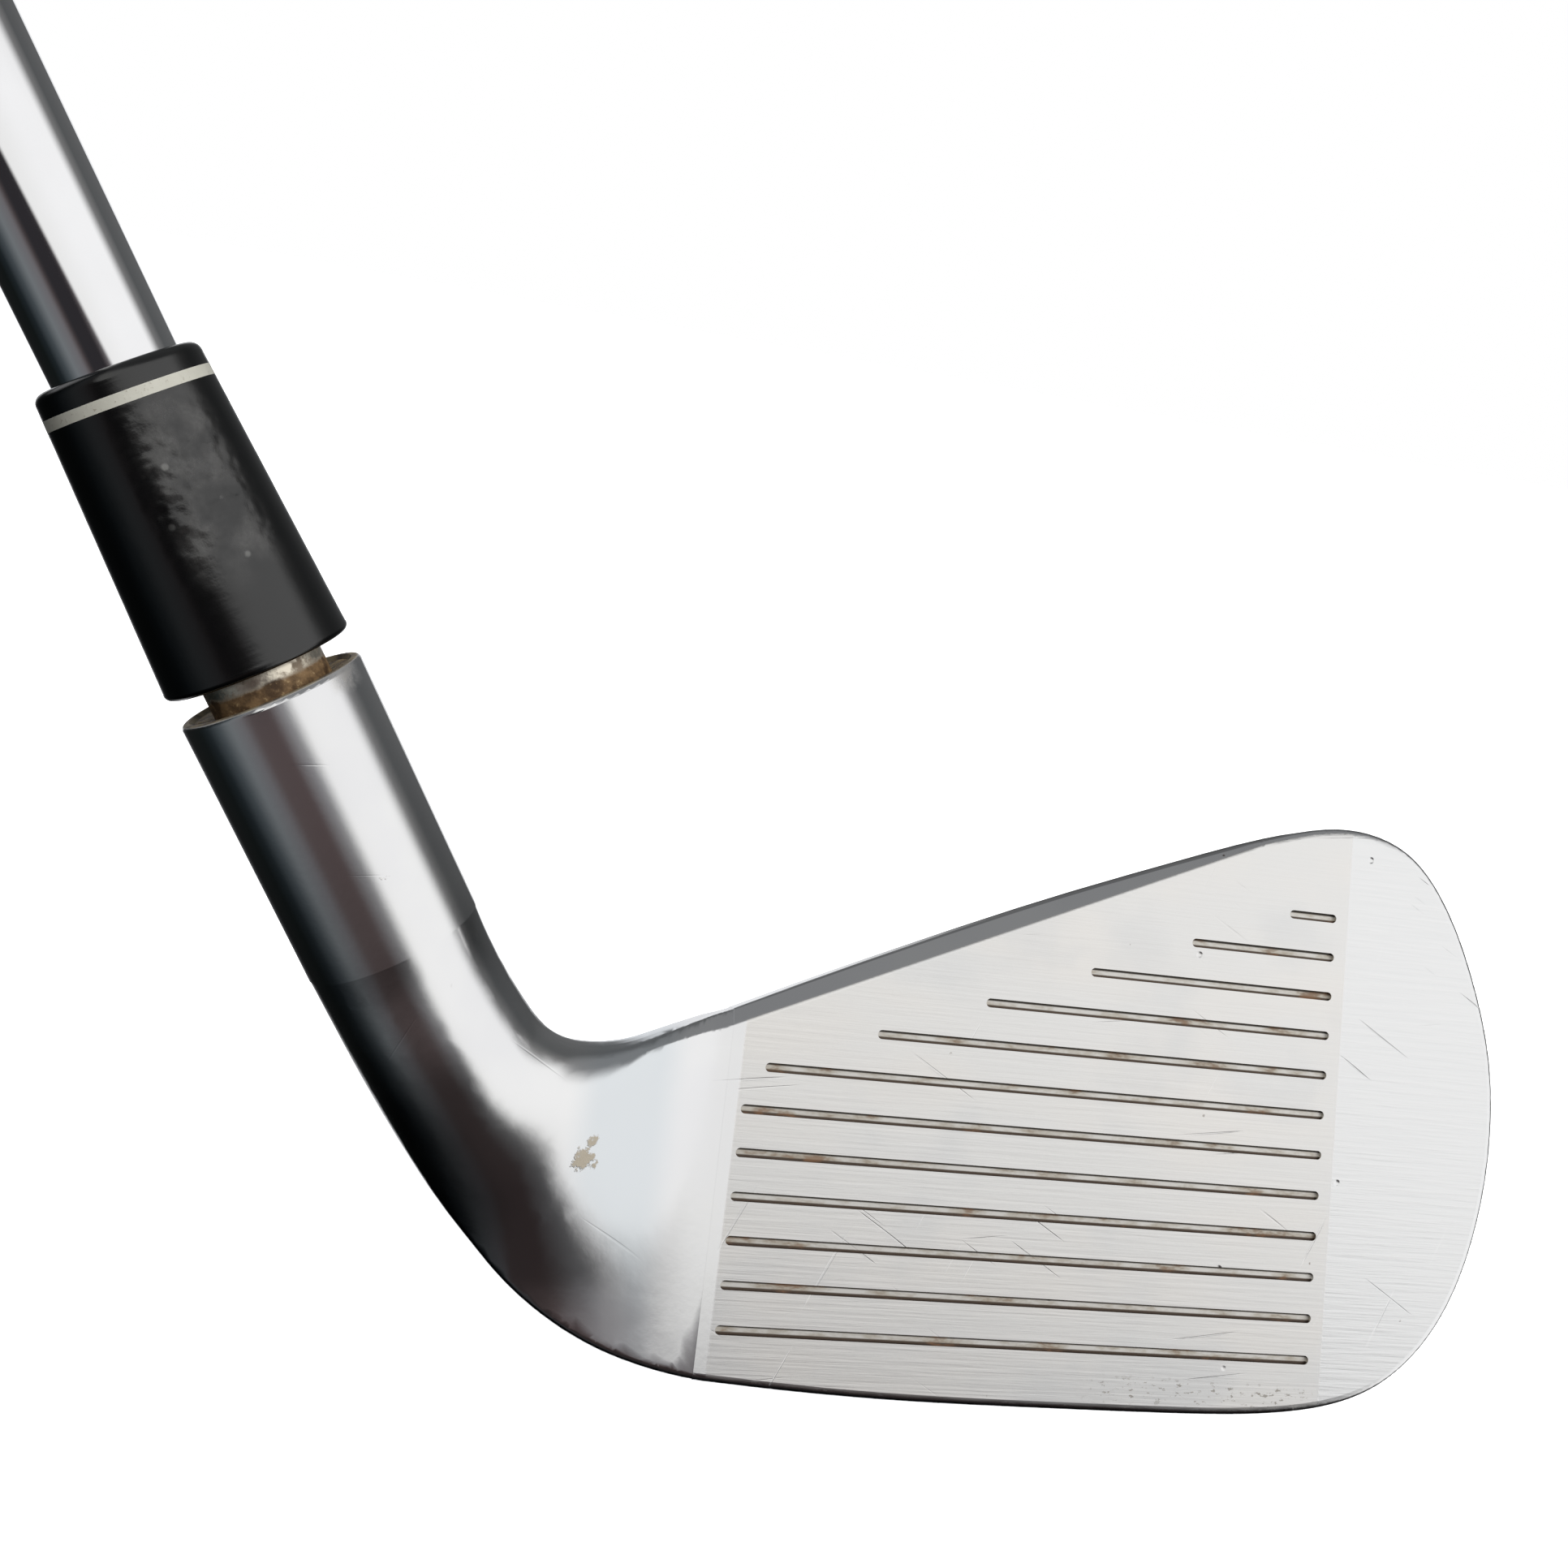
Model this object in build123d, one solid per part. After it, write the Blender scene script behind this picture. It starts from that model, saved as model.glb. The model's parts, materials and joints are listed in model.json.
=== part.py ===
"""Iron golf club, left-handed long iron, standing at address.

Millimetres.  +Z is up from the ground, +X runs from heel to toe and the
striking face looks towards -Y and upwards.  The origin is the spot of the
sole that rests on the ground.  Every solid is first drawn in the club frame,
whose origin is the toe-side end of the lowest scoreline, and moved at export.
"""
import os
from math import acos, atan2, cos, degrees, pi, radians, sin, sqrt, tan

from build123d import *

# ---- head: angles and face ----
LOFT = 19.7
LIE = 59.35
LINE_PITCH = 3.6
LINE_COUNT = 12
LINE_LENGTH = 53.6
LINE_WIDTH = 0.78
LINE_DEPTH = 0.42
SHORT_LINE = 4.7
SHORT_GROWTH = 9.44
FULL_LINES = 6

# ---- head: blade ----
HEEL_CUT = -55.0
SPARE = 3.0
TOP_THICK = 5.8
MUSCLE_THICK = 12.4
SOLE_BACK = 15.6
MUSCLE_TOP = 15.0
MUSCLE_LOW = 3.5
EDGE_R = 0.7
BACK_EDGE_R = 1.3
BEVEL_HEEL = (HEEL_CUT, 24.9)
BEVEL_TOE = (-3.0, 47.8)
BEVEL_R = 0.6
SOLE_CAMBER = 0.45
RECESS_DEPTH = 1.5
RECESS_R = 3.5
RECESS = [(-41.0, 20.5), (11.0, 20.5), (10.5, 34.0), (2.0, 42.0), (-10.0, 39.6), (-41.0, 27.0)]
MUSCLE_R = 12.0
BELLY_R = 4.0

# ---- head: hosel and neck ----
AXIS_X = -64.9
AXIS_Y = 3.83
AXIS_Z = -1.37
HOSEL_R = 6.88
HOSEL_FOOT_R = 6.80
HOSEL_TOP = 57.75
HOSEL_RIM_R = 0.4
HOSEL_FOOT = 36.0
BEND_START = 26.0
OVERLAP = 1.0
INSET = 0.05
BORE_R = 4.70
BORE_DEPTH = 33.5
MOUTH_R = 6.25
MOUTH_DEPTH = 1.5
EPOXY_LOW = 0.3
# neck stations: swing about the pivot in degrees, inner and outer reach, share of blade shape
NECK = [
    (0.0, 19.75, 33.4, 0.02),
    (7.0, 19.35, 33.4, 0.07),
    (13.0, 18.55, 33.7, 0.15),
    (18.5, 17.25, 34.2, 0.23),
    (25.0, 15.55, 34.95, 0.35),
    (32.0, 13.8, 36.05, 0.53),
    (41.0, 12.3, 37.3, 0.76),
    (50.0, 11.3, 38.3, 0.93),
]
GROUND = (-27.0, 3.6, -5.53)

# ---- shaft ----
TIP_R = 4.51
TIP_END = HOSEL_TOP - 32.0
WALL = 0.72
BUTT_R = 7.62
FIRST_STEP = 300.0
STEP_PITCH = 25.4
STEP_COUNT = 15
STEP_RAMP = 1.6
CLUB_LENGTH = 990.6
BAND_STEP = 12
BAND_LENGTH = 19.0
BAND_THICK = 0.12

# ---- ferrule ----
GAP = 2.05
FERRULE_LENGTH = 23.3
FERRULE_FOOT_R = 6.97
FERRULE_TOP_R = 5.88
FERRULE_BORE_R = TIP_R + 0.05
SPIGOT_R = 5.15
RING_LOW = 2.7
RING_HEIGHT = 0.85
COLLAR_HEIGHT = RING_LOW - RING_HEIGHT
FOOT_EDGE_R = 0.5
COLLAR_EDGE_R = 0.8

# ---- grip ----
GRIP_LENGTH = 267.0
GRIP_MOUTH_R = 8.55
GRIP_BUTT_R = 13.0
TAPE = 0.25
TAPE_LENGTH = 258.0
CAP_R = 13.6
CAP_THICK = 3.4
PLUG_LENGTH = 6.0
VENT_R = 1.6

ca = cos(radians(LOFT))
sa = sin(radians(LOFT))
cb = cos(radians(LIE))
sb = sin(radians(LIE))
TO_GROUND = Location((-GROUND[0], -GROUND[1], -GROUND[2]))
face_plane = Plane(origin=(0, 0, 0), x_dir=(1, 0, 0), z_dir=(0, -ca, sa))
shaft_plane = Plane(origin=(AXIS_X, AXIS_Y, AXIS_Z), x_dir=(sb, 0, cb), z_dir=(-cb, 0, sb))
MUSCLE_EDGE = (MUSCLE_TOP * sa + TOP_THICK * ca, MUSCLE_TOP * ca - TOP_THICK * sa)
BELLY = (MUSCLE_LOW * sa + MUSCLE_THICK * ca, MUSCLE_LOW * ca - MUSCLE_THICK * sa)
GROUND_AT = (GROUND[2] - AXIS_Z) / sb
CAP_END = GROUND_AT + CLUB_LENGTH
BUTT_END = CAP_END - CAP_THICK
BEVEL_SLOPE = atan2(BEVEL_TOE[1] - BEVEL_HEEL[1], BEVEL_TOE[0] - BEVEL_HEEL[0])


def revolve_on_shaft(points):
    """Solid of revolution round the shaft axis from (radius, station) corners."""
    profile = Plane.XZ * make_face(Polyline(*[(r, s) for r, s in points], close=True))
    return shaft_plane * revolve(profile, Axis.Z)


def tube(inner, outer, start, end):
    return revolve_on_shaft([(inner, start), (outer, start), (outer, end), (inner, end)])


# ---- blade ----
def top_of_face(u):
    """Height up the face of the topline, a gentle arch."""
    return 49.3 + 0.365 * u - 0.00098 * u * u


def leading_edge(u):
    """Height up the face of the sharp leading edge, rising at the heel."""
    rise = max(0.0, (-30.0 - u) / 25.0)
    return -5.4 + 1.05 * rise * rise


def camber(depth):
    """How far the sole drops below its leading edge at a depth behind the face."""
    middle = 8.5
    return SOLE_CAMBER * (1.0 - ((depth - middle) / middle) ** 2)


def perimeter_point(u, v, wrap, depth):
    """Outline point at a depth; wrap 0 keeps square to the face, 1 follows the level sole."""
    return Vector(u, v + wrap * (depth * sa / ca - camber(depth) / ca), -depth)


TOE = [
    (-14.0, 43.85, 0.0),
    (-6.0, 46.75, 0.0),
    (1.5, 48.15, 0.0),
    (7.2, 46.6, 0.05),
    (11.4, 42.2, 0.12),
    (14.7, 35.5, 0.25),
    (16.9, 28.0, 0.4),
    (17.4, 20.0, 0.55),
    (16.1, 11.3, 0.75),
    (12.6, 3.1, 0.9),
    (6.8, -2.4, 1.0),
    (-2.0, -4.85, 1.0),
    (-12.0, -5.35, 1.0),
]


def perimeter(depth):
    """Closed blade outline at a depth: topline, toe, sole, and a straight heel cut."""
    upper = [(u, top_of_face(u), 0.0) for u in (HEEL_CUT - SPARE, -48.0, -38.0, -26.0)]
    lower = [(u, leading_edge(u), 1.0) for u in (-26.0, -38.0, -46.0, HEEL_CUT - SPARE)]
    points = [perimeter_point(u, v, wrap, depth) for u, v, wrap in upper + TOE + lower]
    edge = Spline(*points)
    return Wire([edge, Edge.make_line(points[-1], points[0])])


def back_profile():
    """Side section of the blade: flat face, thin upper back and the muscle behind the sole."""
    low = -12.0
    top = 70.0
    corners = [
        (low * sa / ca, low),
        (top * sa, top * ca),
        (top * sa + TOP_THICK * ca, top * ca - TOP_THICK * sa),
        MUSCLE_EDGE,
        BELLY,
        (SOLE_BACK, low),
    ]
    side = make_face(Polyline(*[(0, y, z) for y, z in corners], close=True))
    side = fillet(nearest(side.vertices(), MUSCLE_EDGE), MUSCLE_R)
    return fillet(nearest(side.vertices(), BELLY), BELLY_R)


def nearest(vertices, yz):
    return min(vertices, key=lambda vertex: abs(vertex.Y - yz[0]) + abs(vertex.Z - yz[1]))


def make_blade():
    rings = [perimeter(depth) for depth in (-2.0, 8.5, 19.0, 29.5)]
    body = face_plane * Solid.make_loft(rings)
    side = back_profile().moved(Location((HEEL_CUT - 2 * SPARE, 0, 0)))
    body = body & extrude(side, amount=95, dir=(1, 0, 0))
    front = [edge for edge in body.edges() if edge.length > 150]
    body = fillet(front, EDGE_R)
    back = [edge for edge in body.edges() if is_back_rim(edge)]
    body = fillet(back, BACK_EDGE_R)
    body = body - above_bevel()
    body = fillet([edge for edge in body.edges() if is_bevel_edge(edge)], BEVEL_R)
    keep = Pos(HEEL_CUT + 50, 0, 20) * Box(100, 80, 100)
    return body & keep


def above_bevel():
    """Block standing on the bevel, which runs along the topline at 45 degrees to the face."""
    tilt = Rot(0, 0, degrees(BEVEL_SLOPE)) * Rot(-45, 0, 0)
    return face_plane * Pos(*BEVEL_HEEL) * tilt * Pos(30, 0, 10) * Box(100, 30, 20)


def is_bevel_edge(edge):
    middle = edge @ 0.5
    height = sa * middle.Y + ca * middle.Z
    depth = ca * middle.Y - sa * middle.Z
    return edge.length > 30 and height > 30 and depth < 3


def is_back_rim(edge):
    middle = edge @ 0.5
    depth = ca * middle.Y - sa * middle.Z
    return depth > 3 and middle.X > HEEL_CUT - SPARE + 0.2 and edge.geom_type != GeomType.LINE


# ---- neck: rings fanned round a pivot above the crotch ----
def blend(a, b, t):
    return a + (b - a) * t


def arc_points(before, corner, after, radius, count):
    """Points of the arc that rounds a corner of an outline."""
    to_before = (Vector(*before) - Vector(*corner)).normalized()
    to_after = (Vector(*after) - Vector(*corner)).normalized()
    opening = acos(to_before.dot(to_after))
    reach = radius / tan(opening / 2)
    centre = Vector(*corner) + (to_before + to_after).normalized() * (radius / sin(opening / 2))
    start = Vector(*corner) + to_before * reach - centre
    end = Vector(*corner) + to_after * reach - centre
    sweep = pi - opening
    points = []
    for i in range(count):
        t = i / (count - 1)
        spoke = (start * sin((1 - t) * sweep) + end * sin(t * sweep)) / sin(sweep)
        points.append(centre + spoke)
    return [(p.X, p.Y) for p in points]


def sole_point(lead, depth):
    v = lead + (depth * sa - camber(depth)) / ca
    return (v * sa + depth * ca, v * ca - depth * sa)


def blade_ring(u):
    """Section of the blade at u as (y, z) points, from mid topline over the face."""
    top = top_of_face(u)
    lead = leading_edge(u)
    bevel = BEVEL_HEEL[1] + (u - BEVEL_HEEL[0]) * tan(BEVEL_SLOPE)
    bevel_depth = (top - bevel) * cos(BEVEL_SLOPE)
    bevel_top = (top * sa + bevel_depth * ca, top * ca - bevel_depth * sa)
    bevel_front = (bevel * sa, bevel * ca)
    top_back = (top * sa + TOP_THICK * ca, top * ca - TOP_THICK * sa)
    lead_edge = (lead * sa, lead * ca)
    sole = [sole_point(lead, depth) for depth in (1.3, 2.6, 5.2, 8.5, 11.6)]
    wall = (SOLE_BACK - BELLY[0]) / (-12.0 - BELLY[1])
    depth = 14.0
    for _ in range(8):
        tail = sole_point(lead, depth)
        depth += BELLY[0] + wall * (tail[1] - BELLY[1]) - tail[0]
    corners = [
        (bevel_top, BEVEL_R, 4, 3),
        (bevel_front, BEVEL_R, 4, 11),
        (lead_edge, EDGE_R, 7, 0),
        *[(point, 0, 1, 0) for point in sole],
        (tail, BACK_EDGE_R, 7, 2),
        (BELLY, BELLY_R, 5, 2),
        (MUSCLE_EDGE, MUSCLE_R, 5, 4),
        (top_back, BACK_EDGE_R, 7, 3),
    ]
    points = []
    for i, (corner, radius, count, between) in enumerate(corners):
        before = corners[i - 1][0]
        after = corners[(i + 1) % len(corners)][0]
        arc = arc_points(before, corner, after, radius, count) if radius else [corner]
        points.append((arc, between))
    ring = []
    for i, (arc, between) in enumerate(points):
        ring += arc
        end = arc[-1]
        start = points[(i + 1) % len(points)][0][0]
        for j in range(between):
            t = 0.5 - 0.5 * cos(pi * (j + 1) / (between + 1))
            ring.append((blend(end[0], start[0], t), blend(end[1], start[1], t)))
    return ring[-2:] + ring[:-2]


def shrink(ring, amount):
    """The same ring of points, each moved square to the outline into the section."""
    smaller = []
    for i, (y, z) in enumerate(ring):
        before = ring[i - 1]
        after = ring[(i + 1) % len(ring)]
        run = (after[0] - before[0], after[1] - before[1])
        length = sqrt(run[0] ** 2 + run[1] ** 2)
        smaller.append((y - run[1] / length * amount, z + run[0] / length * amount))
    return smaller


def ring_wire(points, around):
    return Wire([Edge.make_spline(points, periodic=True, parameters=around)])


def make_neck():
    """Neck between the round hosel and the blade, lofted through rings round a pivot."""
    ring = shrink(blade_ring(HEEL_CUT), INSET)
    closed = ring + ring[:1]
    steps = [sqrt((b[0] - a[0]) ** 2 + (b[1] - a[1]) ** 2) for a, b in zip(closed, closed[1:])]
    around = [sum(steps[:i]) / sum(steps) for i in range(len(closed))]
    low = min(z for y, z in ring)
    high = max(z for y, z in ring)
    front = min(y for y, z in ring)
    back = max(y for y, z in ring)
    bend_x = AXIS_X - BEND_START * cb
    bend_z = AXIS_Z + BEND_START * sb
    reach = (HEEL_CUT - bend_x) / sb
    pivot_z = bend_z + reach * cb
    round_r = HOSEL_FOOT_R - INSET
    round_end = (reach - round_r, reach + round_r, 0.0)
    blade_end = (pivot_z - high, pivot_z - low, 1.0)
    flare = HOSEL_FOOT - BEND_START
    stations = [(0.0, *round_end, -flare - OVERLAP), (0.0, *round_end, -flare)]
    stations += [(*station, 0.0) for station in NECK]
    stations.append((LIE, *blade_end, 0.0))
    wires = []
    for swing, inner, outer, morph, advance in stations:
        heading = radians(270.0 - LIE + swing)
        near_y = blend(AXIS_Y - round_r, front, morph)
        far_y = blend(AXIS_Y + round_r, back, morph)
        points = []
        for (y, z), share in zip(ring, around):
            turn = 2 * pi * share
            across = blend(0.5 - 0.5 * sin(turn), (y - front) / (back - front), morph)
            along = blend(0.5 - 0.5 * cos(turn), (high - z) / (high - low), morph)
            distance = blend(inner, outer, along)
            x = HEEL_CUT + distance * cos(heading) - advance * sin(heading)
            z = pivot_z + distance * sin(heading) + advance * cos(heading)
            points.append(Vector(x, blend(near_y, far_y, across), z))
        wires.append(ring_wire(points, around))
    inside = shrink(blade_ring(HEEL_CUT + OVERLAP), INSET)
    wires.append(ring_wire([Vector(HEEL_CUT + OVERLAP, y, z) for y, z in inside], around))
    return Solid.make_loft(wires)


def make_head():
    hosel = revolve_on_shaft(
        [(0, HOSEL_FOOT), (HOSEL_FOOT_R, HOSEL_FOOT), (HOSEL_R, HOSEL_TOP), (0, HOSEL_TOP)]
    )
    rim = max(hosel.edges().filter_by(GeomType.CIRCLE), key=lambda edge: edge.center().Z)
    hosel = fillet(rim, HOSEL_RIM_R)
    head = make_blade() + make_neck() + hosel
    floor = HOSEL_TOP - BORE_DEPTH
    bore = [
        (0, floor - 2.0),
        (1.0, floor - 2.0),
        (BORE_R, floor),
        (BORE_R, HOSEL_TOP - MOUTH_DEPTH),
        (MOUTH_R, HOSEL_TOP),
        (MOUTH_R, HOSEL_TOP + 5),
        (0, HOSEL_TOP + 5),
    ]
    head = head - revolve_on_shaft(bore)
    recess_plane = Plane(
        origin=(0, TOP_THICK * ca, -TOP_THICK * sa), x_dir=(1, 0, 0), z_dir=(0, -ca, sa)
    )
    recess = make_face(Polyline(*RECESS, close=True))
    recess = fillet(recess.vertices(), RECESS_R)
    head = head - extrude(recess_plane * recess, amount=RECESS_DEPTH, both=True)
    lines = []
    for row in range(LINE_COUNT):
        length = LINE_LENGTH
        if row < FULL_LINES:
            length = SHORT_LINE + SHORT_GROWTH * row
        height = (LINE_COUNT - 1 - row) * LINE_PITCH
        slot = Pos(-length / 2, height) * SlotOverall(length, LINE_WIDTH)
        lines.append(extrude(face_plane * slot, amount=LINE_DEPTH, both=True))
    return head - lines


# ---- what sits in the hosel ----
def make_hosel_epoxy():
    brim = HOSEL_TOP - EPOXY_LOW
    brim_r = blend(MOUTH_R, BORE_R, EPOXY_LOW / MOUTH_DEPTH)
    return revolve_on_shaft(
        [
            (TIP_R, TIP_END),
            (BORE_R, TIP_END),
            (BORE_R, HOSEL_TOP - MOUTH_DEPTH),
            (brim_r, brim),
            (TIP_R, brim - 0.2),
        ]
    )


def make_tip_weight():
    stem = TIP_R - WALL - 0.1
    return revolve_on_shaft(
        [
            (0, TIP_END - 1.2),
            (TIP_R - 0.3, TIP_END - 1.2),
            (TIP_R, TIP_END - 0.9),
            (TIP_R, TIP_END),
            (stem, TIP_END),
            (stem, TIP_END + 11),
            (stem - 1, TIP_END + 12),
            (0, TIP_END + 12),
        ]
    )


# ---- shaft ----
def shaft_radius(step):
    return TIP_R + (BUTT_R - TIP_R) * step / STEP_COUNT


def make_shaft():
    outer = [(TIP_R, TIP_END)]
    for step in range(STEP_COUNT):
        start = TIP_END + FIRST_STEP + STEP_PITCH * step
        outer.append((shaft_radius(step), start))
        outer.append((shaft_radius(step + 1), start + STEP_RAMP))
    outer.append((BUTT_R, BUTT_END))
    inner = [(r - WALL, station) for r, station in reversed(outer)]
    return revolve_on_shaft(outer + inner)


def make_shaft_band():
    start = TIP_END + FIRST_STEP + STEP_PITCH * BAND_STEP + 3.0
    r = shaft_radius(BAND_STEP + 1)
    return tube(r, r + BAND_THICK, start, start + BAND_LENGTH)


# ---- ferrule ----
FERRULE_FOOT = HOSEL_TOP + GAP
FERRULE_TOP = FERRULE_FOOT + FERRULE_LENGTH
RING_FOOT = FERRULE_TOP - RING_LOW
COLLAR_FOOT = RING_FOOT + RING_HEIGHT
SPIGOT_END = COLLAR_FOOT + COLLAR_HEIGHT / 2


def ferrule_radius(station):
    share = (station - FERRULE_FOOT) / FERRULE_LENGTH
    return blend(FERRULE_FOOT_R, FERRULE_TOP_R, share)


def make_ferrule_body():
    body = revolve_on_shaft(
        [
            (FERRULE_BORE_R, FERRULE_FOOT),
            (FERRULE_FOOT_R, FERRULE_FOOT),
            (ferrule_radius(RING_FOOT), RING_FOOT),
            (SPIGOT_R, RING_FOOT),
            (SPIGOT_R, SPIGOT_END),
            (FERRULE_BORE_R, SPIGOT_END),
        ]
    )
    foot_edge = max(body.edges().filter_by(GeomType.CIRCLE), key=lambda edge: edge.radius)
    return fillet(foot_edge, FOOT_EDGE_R)


def make_ferrule_ring():
    return revolve_on_shaft(
        [
            (SPIGOT_R, RING_FOOT),
            (ferrule_radius(RING_FOOT), RING_FOOT),
            (ferrule_radius(COLLAR_FOOT), COLLAR_FOOT),
            (SPIGOT_R, COLLAR_FOOT),
        ]
    )


def make_ferrule_collar():
    collar = revolve_on_shaft(
        [
            (SPIGOT_R, COLLAR_FOOT),
            (ferrule_radius(COLLAR_FOOT), COLLAR_FOOT),
            (ferrule_radius(FERRULE_TOP), FERRULE_TOP),
            (FERRULE_BORE_R, FERRULE_TOP),
            (FERRULE_BORE_R, SPIGOT_END),
            (SPIGOT_R, SPIGOT_END),
        ]
    )
    circles = collar.edges().filter_by(GeomType.CIRCLE)
    rim = [edge for edge in circles if abs(edge.radius - FERRULE_TOP_R) < 0.001]
    return fillet(rim, COLLAR_EDGE_R)


# ---- grip ----
def make_grip_tape():
    return tube(BUTT_R, BUTT_R + TAPE, BUTT_END - TAPE_LENGTH, BUTT_END)


def make_grip():
    mouth = BUTT_END - GRIP_LENGTH
    tape_start = BUTT_END - TAPE_LENGTH
    seat = BUTT_R + TAPE
    swell = Spline(
        (GRIP_MOUTH_R + 0.3, mouth + 1.0),
        (GRIP_MOUTH_R + 0.75, mouth + 60),
        (GRIP_MOUTH_R + 1.75, mouth + 140),
        (GRIP_BUTT_R - 1.3, mouth + 215),
        (GRIP_BUTT_R, BUTT_END),
    )
    shell = [
        Line((GRIP_BUTT_R, BUTT_END), (seat, BUTT_END)),
        Line((seat, BUTT_END), (seat, tape_start)),
        Line((seat, tape_start), (BUTT_R, tape_start)),
        Line((BUTT_R, tape_start), (BUTT_R, mouth)),
        Line((BUTT_R, mouth), (GRIP_MOUTH_R - 0.3, mouth)),
        Line((GRIP_MOUTH_R - 0.3, mouth), (GRIP_MOUTH_R + 0.3, mouth + 1.0)),
    ]
    profile = Plane.XZ * make_face([swell] + shell)
    return shaft_plane * revolve(profile, Axis.Z)


def make_grip_cap():
    plug = BUTT_R - WALL - 0.1
    cap = revolve_on_shaft(
        [
            (VENT_R, BUTT_END - PLUG_LENGTH),
            (plug - 0.4, BUTT_END - PLUG_LENGTH),
            (plug, BUTT_END - PLUG_LENGTH + 0.6),
            (plug, BUTT_END),
            (CAP_R, BUTT_END),
            (CAP_R, CAP_END),
            (VENT_R, CAP_END),
        ]
    )
    circles = cap.edges().filter_by(GeomType.CIRCLE)
    rim = max(circles, key=lambda edge: edge.radius - edge.center().X)
    return fillet(rim, 2.0)


PARTS = {
    "head": make_head,
    "hosel_epoxy": make_hosel_epoxy,
    "tip_weight": make_tip_weight,
    "shaft": make_shaft,
    "shaft_band": make_shaft_band,
    "ferrule_body": make_ferrule_body,
    "ferrule_ring": make_ferrule_ring,
    "ferrule_collar": make_ferrule_collar,
    "grip_tape": make_grip_tape,
    "grip": make_grip,
    "grip_cap": make_grip_cap,
}

os.makedirs("parts", exist_ok=True)
for name, make in PARTS.items():
    export_step(TO_GROUND * make(), f"parts/{name}.step")
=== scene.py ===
import json
import math

import bpy
from mathutils import Matrix, Vector, noise


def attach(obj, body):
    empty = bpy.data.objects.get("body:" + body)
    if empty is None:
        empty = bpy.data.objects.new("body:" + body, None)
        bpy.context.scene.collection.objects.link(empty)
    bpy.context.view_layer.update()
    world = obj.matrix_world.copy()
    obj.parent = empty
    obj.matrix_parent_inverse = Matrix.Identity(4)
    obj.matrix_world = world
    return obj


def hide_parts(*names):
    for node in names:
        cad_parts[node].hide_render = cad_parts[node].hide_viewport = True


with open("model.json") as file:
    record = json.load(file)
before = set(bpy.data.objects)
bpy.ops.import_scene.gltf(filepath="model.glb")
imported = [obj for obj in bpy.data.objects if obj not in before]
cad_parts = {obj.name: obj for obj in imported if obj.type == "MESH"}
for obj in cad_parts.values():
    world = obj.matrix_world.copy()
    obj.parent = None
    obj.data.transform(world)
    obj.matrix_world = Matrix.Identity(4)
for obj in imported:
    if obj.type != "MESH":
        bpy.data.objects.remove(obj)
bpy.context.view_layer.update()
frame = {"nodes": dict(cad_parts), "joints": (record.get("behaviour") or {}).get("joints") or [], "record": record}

MM = 0.001

# ---- places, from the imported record, in millimetres ----
joints = {joint["name"]: joint for joint in frame["joints"]}
mounts = {mount["name"]: mount for mount in frame["record"]["mounts"]}
nodes = frame["nodes"]
shaft_axis = Vector(joints["ferrule_slide"]["axis"]).normalized()
face_normal = Vector(mounts["striking_face"]["axis"]).normalized()
face_up = face_normal.cross(Vector((1, 0, 0))).normalized()
if face_up.z < 0:
    face_up = -face_up
face_point = Vector(mounts["striking_face"]["pos_m"]) / MM
# u runs along the face and v up it, from the toe-side end of the lowest scoreline
FACE_POINT_U = -27.0
FACE_POINT_V = 19.8
# heights on the shaft are measured from the hosel's mouth; the grip's mount is this high
MOUTH_TO_GRIP = 794.607
hosel_mouth = Vector(mounts["grip"]["pos_m"]) / MM - shaft_axis * MOUTH_TO_GRIP
# the two directions square to the shaft that its materials and the studio share
LOOKED_AT_FROM = Vector((0.187, -0.975, 0.111))
ahead = (LOOKED_AT_FROM - shaft_axis * LOOKED_AT_FROM.dot(shaft_axis)).normalized()
aside = ahead.cross(shaft_axis).normalized()
if aside.x < 0:
    aside = -aside

# ---- head: ends of the scored field in u, the bevel's lower edge as v, and the scorelines ----
HEEL_LINE = -53.95
TOE_LINE = 1.2
BEVEL_AT_ORIGIN = 49.12
BEVEL_SLOPE = 0.440
LINE_PITCH = 3.6
TOP_LINE_V = 11 * LINE_PITCH
MOUTH_R = 6.36
# scratches as (direction in degrees, seed, stretch); glue spots as (centre, radius)
SCRATCHES = [(8, 2.0, 0.045), (-31, 9.0, 0.06), (64, 17.0, 0.05)]
GLUE_SPOTS = [((-39.3, -3.1, 19.6), 1.05), ((-38.7, -3.3, 20.9), 0.65), ((-57.5, -5.2, 41.8), 0.6)]

# ---- ferrule, heights above the hosel's mouth ----
FERRULE_FOOT = 2.05
FERRULE_TOP = 25.35
RING_FOOT = 22.65
SPIGOT_END = 24.425
FERRULE_FOOT_R = 6.97
FERRULE_TOP_R = 5.88
FERRULE_BORE_R = 4.56
SPIGOT_R = 5.15
FOOT_ROUND = 0.5
SLEEVE_STEP = 0.16
SLEEVE_SIDES = 200

# ---- grip, heights above the grip's mouth ----
GRIP_LENGTH = 267.0
GRIP_MID = 137.0
# the grip's outline as (height, radius)
GRIP_SWELL = [(0.0, 8.25), (1.0, 8.85), (60.0, 9.3), (140.0, 10.3), (215.0, 11.7), (267.0, 13.0)]
TREAD_STARTS = 12
TREAD_LEAD = 9.0
TREAD_DEPTH = 0.42
TREAD_ZONES = [(24.0, 118.0), (146.0, 240.0)]
GRIP_RINGS = [9.0, 12.5, 16.0, 124.0, 128.5, 135.5, 140.0, 248.0, 252.5, 257.0]
GRIP_INNER_R = 7.95
GRIP_BUTT_R = 13.0
GRIP_STEP = 0.6
GRIP_SIDES = 132


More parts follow.
